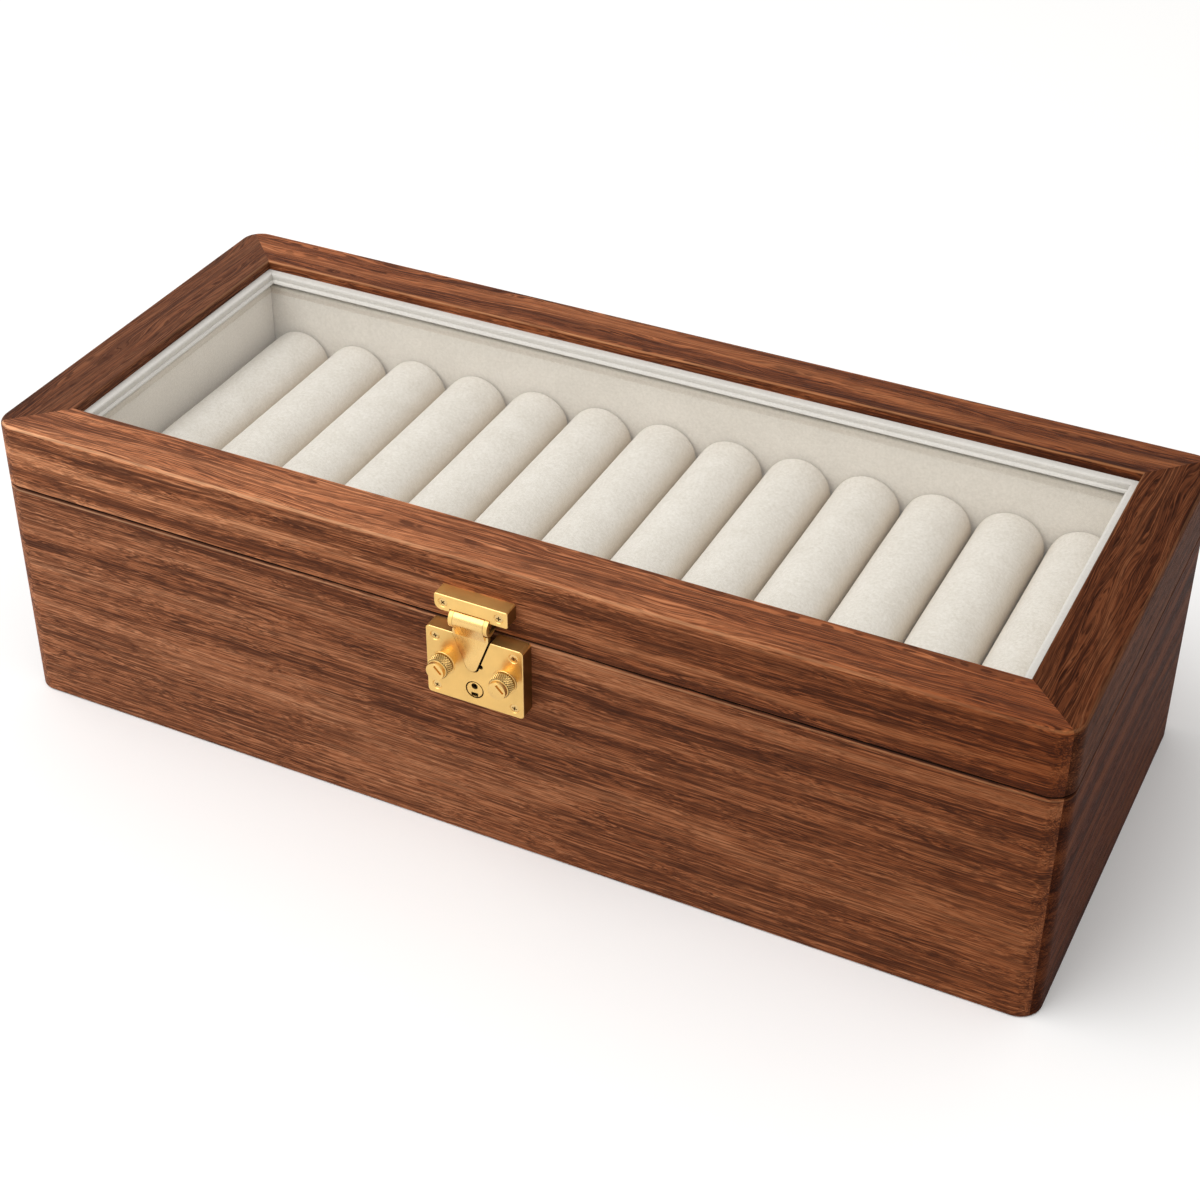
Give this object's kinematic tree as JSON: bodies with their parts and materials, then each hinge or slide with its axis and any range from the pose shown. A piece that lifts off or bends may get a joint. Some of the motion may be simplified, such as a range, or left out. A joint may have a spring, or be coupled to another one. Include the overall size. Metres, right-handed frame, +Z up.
{
  "type": "bangle box",
  "caption": "Long walnut box with a hinged glazed lid, a row of suede rolls for bangles, and a brass hasp lock with turn knobs.",
  "frame": {"origin": "middle of the underside, half way between the outer faces of the walnut walls", "axes": "+X along the box to the right, +Y from the lock at the front to the hinges, +Z up"},
  "size_m": [0.43, 0.2087, 0.128],
  "materials": {
    "walnut": "satin, straight grain",
    "panel": "plain plywood",
    "felt": "matt felt",
    "suede": "matt suede",
    "roll_suede": "padded matt suede",
    "glass": "clear float glass",
    "brass": "satin",
    "pins": "drawn",
    "screws": "satin"
  },
  "bodies": {
    "case": {"base_front": "walnut", "base_back": "walnut", "base_left": "walnut", "base_right": "walnut", "base_bottom": "panel", "base_felt": "felt", "lining_front": "suede", "lining_back": "suede", "lining_left": "suede", "lining_right": "suede", "lining_floor": "suede", "roll_rest_front": "suede", "roll_rest_back": "suede", "lock_case": "brass", "lock_case_screws": "screws", "hinge_base_leaf_left": "brass", "hinge_base_leaf_right": "brass", "hinge_pin_left": "pins", "hinge_pin_right": "pins", "base_hinge_screws": "screws"},
    "lid": {"lid_front": "walnut", "lid_back": "walnut", "lid_left": "walnut", "lid_right": "walnut", "glass_pane": "glass", "retainer_front": "suede", "retainer_back": "suede", "retainer_left": "suede", "retainer_right": "suede", "hasp_bar": "brass", "hasp_bar_screws": "screws", "hasp_pin": "pins", "hinge_lid_leaf_left": "brass", "hinge_lid_leaf_right": "brass", "lid_hinge_screws": "screws"},
    "hasp": {"hasp": "brass", "hasp_stud": "brass", "hasp_washer": "brass"},
    "knob_left": {"knob_left": "brass", "cam_left": "brass"},
    "knob_right": {"knob_right": "brass", "cam_right": "brass"},
    "lock_cylinder": {"cylinder_plug": "brass", "key_lever": "brass"},
    "roll_01": {"roll_01": "roll_suede"},
    "roll_02": {"roll_02": "roll_suede"},
    "roll_03": {"roll_03": "roll_suede"},
    "roll_04": {"roll_04": "roll_suede"},
    "roll_05": {"roll_05": "roll_suede"},
    "roll_06": {"roll_06": "roll_suede"},
    "roll_07": {"roll_07": "roll_suede"},
    "roll_08": {"roll_08": "roll_suede"},
    "roll_09": {"roll_09": "roll_suede"},
    "roll_10": {"roll_10": "roll_suede"},
    "roll_11": {"roll_11": "roll_suede"},
    "roll_12": {"roll_12": "roll_suede"},
    "roll_13": {"roll_13": "roll_suede"}
  },
  "joints": [
    {"name": "lid_hinge", "type": "hinge", "parent": "case", "child": "lid", "pos_m": [0, 0.0948, 0.1002], "axis": [-1, 0, 0], "range_deg": [0, 100]},
    {"name": "hasp_swing", "type": "hinge", "parent": "lid", "child": "hasp", "pos_m": [-0.0013, -0.097, 0.1059], "axis": [-1, 0, 0], "range_deg": [0, 110]},
    {"name": "knob_left_turn", "type": "hinge", "parent": "case", "child": "knob_left", "pos_m": [-0.0106, -0.1, 0.0882], "axis": [0, -1, 0], "range_deg": [0, 60]},
    {"name": "knob_right_turn", "type": "hinge", "parent": "case", "child": "knob_right", "pos_m": [0.0144, -0.1, 0.0882], "axis": [0, 1, 0], "range_deg": [0, 60]},
    {"name": "lock_cylinder_turn", "type": "hinge", "parent": "case", "child": "lock_cylinder", "pos_m": [-0.0002, -0.0985, 0.0767], "axis": [0, -1, 0], "range_deg": [0, 90]},
    {"name": "roll_01_lift", "type": "slide", "parent": "case", "child": "roll_01", "axis": [0, 0, 1], "range_m": [0, 0.017]},
    {"name": "roll_02_lift", "type": "slide", "parent": "case", "child": "roll_02", "axis": [0, 0, 1], "range_m": [0, 0.017]},
    {"name": "roll_03_lift", "type": "slide", "parent": "case", "child": "roll_03", "axis": [0, 0, 1], "range_m": [0, 0.017]},
    {"name": "roll_04_lift", "type": "slide", "parent": "case", "child": "roll_04", "axis": [0, 0, 1], "range_m": [0, 0.017]},
    {"name": "roll_05_lift", "type": "slide", "parent": "case", "child": "roll_05", "axis": [0, 0, 1], "range_m": [0, 0.017]},
    {"name": "roll_06_lift", "type": "slide", "parent": "case", "child": "roll_06", "axis": [0, 0, 1], "range_m": [0, 0.017]},
    {"name": "roll_07_lift", "type": "slide", "parent": "case", "child": "roll_07", "axis": [0, 0, 1], "range_m": [0, 0.017]},
    {"name": "roll_08_lift", "type": "slide", "parent": "case", "child": "roll_08", "axis": [0, 0, 1], "range_m": [0, 0.017]},
    {"name": "roll_09_lift", "type": "slide", "parent": "case", "child": "roll_09", "axis": [0, 0, 1], "range_m": [0, 0.017]},
    {"name": "roll_10_lift", "type": "slide", "parent": "case", "child": "roll_10", "axis": [0, 0, 1], "range_m": [0, 0.017]},
    {"name": "roll_11_lift", "type": "slide", "parent": "case", "child": "roll_11", "axis": [0, 0, 1], "range_m": [0, 0.017]},
    {"name": "roll_12_lift", "type": "slide", "parent": "case", "child": "roll_12", "axis": [0, 0, 1], "range_m": [0, 0.017]},
    {"name": "roll_13_lift", "type": "slide", "parent": "case", "child": "roll_13", "axis": [0, 0, 1], "range_m": [0, 0.017]}
  ]
}
